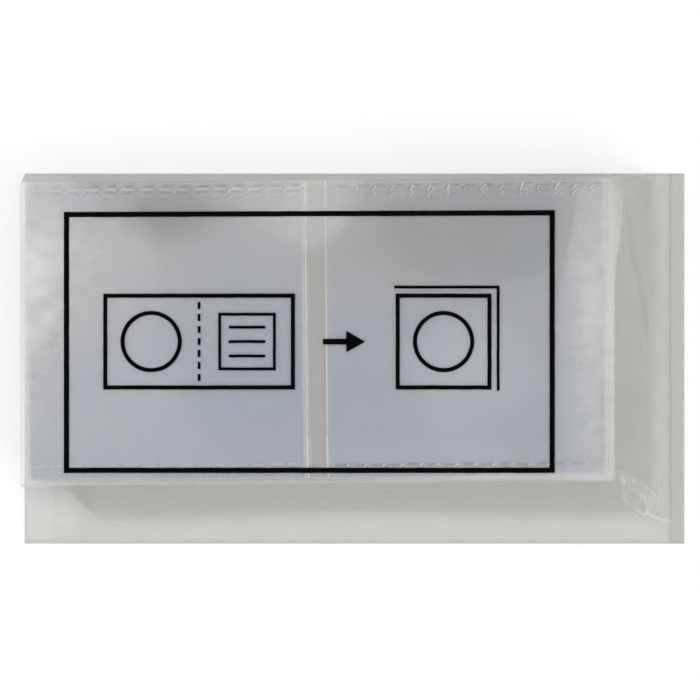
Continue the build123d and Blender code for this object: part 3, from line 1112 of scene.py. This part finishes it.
def lay_print(name, bm, context):
    """Lays a flat print on the front film and makes it a piece of the bag."""
    for cuts in PRINT_CUTS:
        lines = [edge for edge in bm.edges if edge.calc_length() > PRINT_CELL]
        bmesh.ops.subdivide_edges(bm, edges=lines, cuts=cuts, use_grid_fill=True)
    for vert in bm.verts:
        vert.co.x += INK_WOBBLE * ripple(vert.co.x, vert.co.y, WOBBLE_WAVE, seed=61.0)
        vert.co.y += INK_WOBBLE * ripple(vert.co.x, vert.co.y, WOBBLE_WAVE, seed=63.0)
        vert.co.z = front_film(vert.co.x, vert.co.y, context.scene.pack_sizes)[0] + PRINT_GAP
    bmesh.ops.recalc_face_normals(bm, faces=bm.faces)
    ink = bpy.data.materials.get("black_print") or ink_material(context.scene.pack_colours.ink)
    nodes = ["printed_border"] if name == "border_print" else []
    piece = add_piece(name, finish_mesh(name, bm), [ink], "bag", "print_ink", *nodes)
    thicken(piece, INK_WALL, 1)


class PACK_OT_border(bpy.types.Operator):
    """Make the printed border"""

    bl_idname = "pack.border"
    bl_label = "Border"

    def execute(self, context):
        bm = bmesh.new()
        add_frame(bm, BORDER_LOW, BORDER_HIGH, context.scene.pack_sizes.border_line / MM)
        size = BORDER_HIGH - BORDER_LOW
        for vert in bm.verts:
            to_left, to_top = (BORDER_HIGH.x - vert.co.x) / size.x, (vert.co.y - BORDER_LOW.y) / size.y
            vert.co.y -= PRINT_DROP * to_left * to_top
        lay_print("border_print", bm, context)
        return {"FINISHED"}


class PACK_OT_sign(bpy.types.Operator):
    """Make the printed line picture of an open flip that folds over a coin"""

    bl_idname = "pack.sign"
    bl_label = "Sign"

    def execute(self, context):
        sizes = context.scene.pack_sizes
        side, line = sizes.sign_side / MM, sizes.sign_line / MM
        thin, coin = line * THIN_LINE, side * COIN_RADIUS
        middle = (BORDER_LOW + BORDER_HIGH) / 2
        half = Vector((side / 2, side / 2, 0))
        bm = bmesh.new()
        # The open flip: a coin in one pocket, a ruled card in the other, and its fold
        fold = beside(middle, -1.15 * side)
        add_frame(bm, beside(fold, -side, -side / 2), beside(fold, side, side / 2), line)
        for dash in range(-3, 4):
            add_bar(bm, beside(fold, 0, dash * side / 8), thin, side / 14)
        add_ring(bm, beside(fold, -side / 2), coin, line)
        card = beside(fold, side / 2)
        add_frame(bm, card - half * 0.6, card + half * 0.6, thin)
        for row in (-1, 0, 1):
            add_bar(bm, beside(card, 0, row * side * 0.15), side * 0.38, thin)
        # The arrow
        point = beside(middle, 0.45 * side)
        add_bar(bm, beside(point, -0.16 * side), 0.3 * side, line * THICK_LINE)
        head = bmesh.ops.create_circle(bm, cap_ends=True, radius=0.13 * side, segments=3)["verts"]
        bmesh.ops.rotate(bm, cent=(0, 0, 0), matrix=Matrix.Rotation(radians(-90), 3, "Z"), verts=head)
        bmesh.ops.translate(bm, vec=point, verts=head)
        # The folded flip: the coin before the second leaf
        shut = beside(middle, 1.4 * side)
        add_frame(bm, shut - half, shut + half, line)
        add_ring(bm, shut, coin, line)
        leaf = side / 2 + 1.6 * line
        add_bar(bm, beside(shut, leaf, 0.8 * line), thin, side + 2.3 * line)
        add_bar(bm, beside(shut, 0.45 * line, leaf), side + 1.6 * line, thin)
        lay_print("sign_print", bm, context)
        return {"FINISHED"}


# The stage

PHOTO_SIDE = 700  # pixels
PHOTO_SCALE = 0.219  # millimetres a pixel at the front of the pile
CAMERA_PLACE = Vector((-1.0, 1.9, 800))
SENSOR_WIDTH = 36
FLOOR_REACH = 4000  # from the pack to the floor's edges
FLOOR_GAP = 0.05  # from the floor to the pack's underside
FLOOR_GLOW = 0.35  # what makes the pale floor white where it is seen
WORLD_COLOUR = (0.97, 0.98, 1.0, 1)
WORLD_LIGHT, WORLD_SEEN = 0.54, 1.02  # the world's strength as it lights the pack, and as it is seen
FILM_LAYERS = 32  # how many clear faces the camera looks through
LAMPS = (  # name, place in metres, power in watts, side in metres
    ("key", (-0.15, 0.45, 0.95), 1.8, 0.7),
    ("left", (-0.8, 0.1, 0.6), 1.15, 0.5),
    ("right", (0.55, -0.55, 0.6), 1.05, 0.5),
)


def seen_share(tree):
    """1 for rays that show a surface, directly or by gloss or glass, and 0 for those that light it."""
    path = tree.nodes.new("ShaderNodeLightPath")
    seen = add_math(tree, "MAXIMUM", path.outputs["Is Camera Ray"], path.outputs["Is Glossy Ray"])
    return add_math(tree, "MAXIMUM", seen, path.outputs["Is Transmission Ray"])


def floor_material(colour):
    """Pale floor that the camera sees as white, with the pack's shadow."""
    material, tree, shader = new_material("floor")
    cloud, _ = film_grain(tree, FLOOR_CLOUD)
    uneven = mix_colour(tree, cloud, rgba(colour, 0.99), rgba(colour, 1.01))
    set_inputs(tree, shader, Base_Color=uneven, Roughness=0.9, Specular_IOR_Level=0.0)
    glow = add_math(tree, "MULTIPLY", seen_share(tree), FLOOR_GLOW)
    set_inputs(tree, shader, Emission_Color=(1, 1, 1, 1), Emission_Strength=glow)
    return material


def add_lamp(name, place, power, side):
    """A square soft lamp, placed in metres, that points at the pack."""
    lamp = bpy.data.lights.new(name, "AREA")
    lamp.energy, lamp.size = power, side
    holder = bpy.data.objects.new(name, lamp)
    holder.location = place
    holder.rotation_euler = (-Vector(place)).to_track_quat("-Z", "Y").to_euler()
    bpy.context.scene.collection.objects.link(holder)


class PACK_OT_stage(bpy.types.Operator):
    """Make the floor, the lamps and the camera"""

    bl_idname = "pack.stage"
    bl_label = "Stage"

    def execute(self, context):
        scene = context.scene
        bm = bmesh.new()
        bmesh.ops.create_grid(bm, x_segments=1, y_segments=1, size=FLOOR_REACH)
        mesh = finish_mesh("floor", bm)
        mesh.materials.append(floor_material(scene.pack_colours.floor))
        floor = bpy.data.objects.new("floor", mesh)
        floor.location.z = -FLOOR_GAP * MM
        scene.collection.objects.link(floor)

        for lamp in LAMPS:
            add_lamp(*lamp)

        world = bpy.data.worlds.new("studio")
        scene.world = world
        world.use_nodes = True
        tree = world.node_tree
        strength = remap(tree, seen_share(tree), 0, 1, WORLD_LIGHT, WORLD_SEEN)
        set_inputs(tree, tree.nodes["Background"], Color=WORLD_COLOUR, Strength=strength)

        camera = bpy.data.cameras.new("camera")
        camera.sensor_width = SENSOR_WIDTH
        camera.lens = SENSOR_WIDTH * (CAMERA_PLACE.z - FRONT_TOP) / (PHOTO_SIDE * PHOTO_SCALE)
        holder = bpy.data.objects.new("camera", camera)
        holder.location = CAMERA_PLACE * MM
        scene.collection.objects.link(holder)
        scene.camera = holder
        scene.view_settings.view_transform = "Standard"
        scene.cycles.transparent_max_bounces = FILM_LAYERS
        return {"FINISHED"}


class PACK_PT_panel(bpy.types.Panel):
    """Lists the steps that dress the pack"""

    bl_label = "Flip Pack"
    bl_idname = "PACK_PT_panel"
    bl_space_type = "VIEW_3D"
    bl_region_type = "UI"
    bl_category = "Flip Pack"

    def draw(self, context):
        for step in STEPS:
            self.layout.operator(step.bl_idname)
        for group in (context.scene.pack_sizes, context.scene.pack_colours):
            for name in group.__annotations__:
                self.layout.prop(group, name)


STEPS = (
    PACK_OT_stage,
    PACK_OT_flips,
    PACK_OT_front_film,
    PACK_OT_back_film,
    PACK_OT_end_seal,
    PACK_OT_border,
    PACK_OT_sign,
)
CLASSES = (PackSizes, PackColours, *STEPS, PACK_PT_panel)


def register():
    for item in CLASSES:
        bpy.utils.register_class(item)
    bpy.types.Scene.pack_sizes = PointerProperty(type=PackSizes)
    bpy.types.Scene.pack_colours = PointerProperty(type=PackColours)


def unregister():
    del bpy.types.Scene.pack_colours
    del bpy.types.Scene.pack_sizes
    for item in reversed(CLASSES):
        bpy.utils.unregister_class(item)


def main():
    """Dresses the pack."""
    register()
    bpy.ops.pack.stage()
    bpy.ops.pack.flips()
    bpy.ops.pack.front_film()
    bpy.ops.pack.back_film()
    bpy.ops.pack.end_seal()
    bpy.ops.pack.border()
    bpy.ops.pack.sign()


if __name__ == "__main__":
    main()
